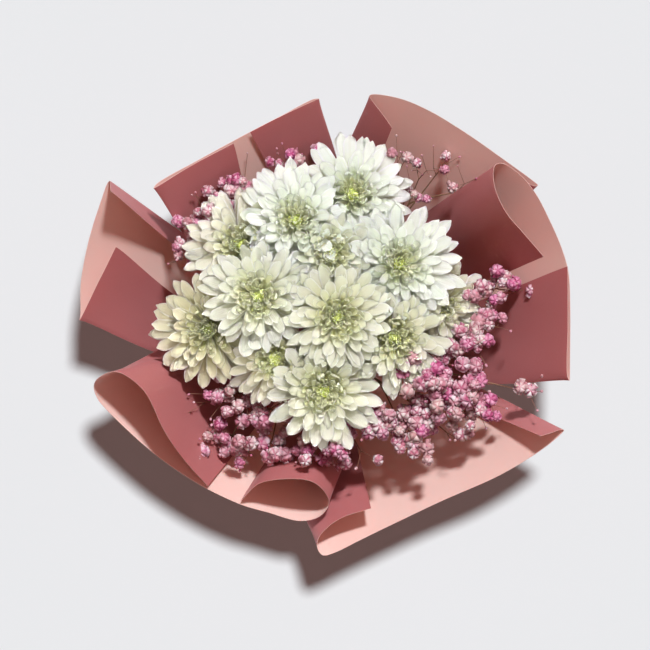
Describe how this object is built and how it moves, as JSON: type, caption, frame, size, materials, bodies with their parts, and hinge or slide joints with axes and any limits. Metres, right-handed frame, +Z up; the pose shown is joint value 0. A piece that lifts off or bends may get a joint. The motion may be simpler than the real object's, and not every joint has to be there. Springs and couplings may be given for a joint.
{
  "type": "bunch of chrysanthemums",
  "caption": "Hand-tied bunch of white chrysanthemums and pink gypsophila in folded two-tone paper with a bow, standing on its splayed cut stems.",
  "frame": {"origin": "on the surface that the cut stems stand on, under the middle of the bounding box", "axes": "+Z up along the bunch towards the flowers; -Y is the side with the ribbon's bow"},
  "size_m": [0.3528, 0.3324, 0.3599],
  "materials": {
    "petals": "soft matte white petals, faintly green towards their base",
    "disc_florets": "yellow-green, matte",
    "stem": "green, ribbed and slightly waxy",
    "leaf": "dark green above, dull, greyer below",
    "gypsophila": "dyed pink florets on thin dark stems, matte",
    "wrapping_paper": "matte florist's paper, dusty rose outside and pale blush inside",
    "twine": "rough jute",
    "ribbon": "satin sheen, dusty rose"
  },
  "bodies": {
    "root": {"bloom_01_petals": "petals", "bloom_01_heart": "disc_florets", "bloom_01_stem": "stem", "bloom_02_petals": "petals", "bloom_02_heart": "disc_florets", "bloom_02_stem": "stem", "bloom_03_petals": "petals", "bloom_03_heart": "disc_florets", "bloom_03_stem": "stem", "bloom_04_petals": "petals", "bloom_04_heart": "disc_florets", "bloom_04_stem": "stem", "bloom_05_petals": "petals", "bloom_05_heart": "disc_florets", "bloom_05_stem": "stem", "bloom_06_petals": "petals", "bloom_06_heart": "disc_florets", "bloom_06_stem": "stem", "bloom_07_petals": "petals", "bloom_07_heart": "disc_florets", "bloom_07_stem": "stem", "bloom_08_petals": "petals", "bloom_08_heart": "disc_florets", "bloom_08_stem": "stem", "bloom_09_petals": "petals", "bloom_09_heart": "disc_florets", "bloom_09_stem": "stem", "bloom_10_petals": "petals", "bloom_10_heart": "disc_florets", "bloom_10_stem": "stem", "bloom_11_petals": "petals", "bloom_11_heart": "disc_florets", "bloom_11_stem": "stem", "bloom_12_petals": "petals", "bloom_12_heart": "disc_florets", "bloom_12_stem": "stem", "leaf_1": "leaf", "leaf_2": "leaf", "leaf_3": "leaf", "leaf_4": "leaf", "leaf_5": "leaf", "gypsophila_lower_left": "gypsophila", "gypsophila_bottom_left": "gypsophila", "gypsophila_bottom": "gypsophila", "gypsophila_bottom_right": "gypsophila", "gypsophila_right_low": "gypsophila", "gypsophila_right": "gypsophila", "gypsophila_top_right": "gypsophila", "gypsophila_top_left": "gypsophila", "gypsophila_left": "gypsophila", "paper_top_left": "wrapping_paper", "paper_top_right": "wrapping_paper", "paper_right": "wrapping_paper", "paper_bottom_right": "wrapping_paper", "paper_bottom_left": "wrapping_paper", "paper_left": "wrapping_paper", "binding_twine": "twine", "ribbon_band": "ribbon", "ribbon_bow": "ribbon"}
  },
  "joints": []
}
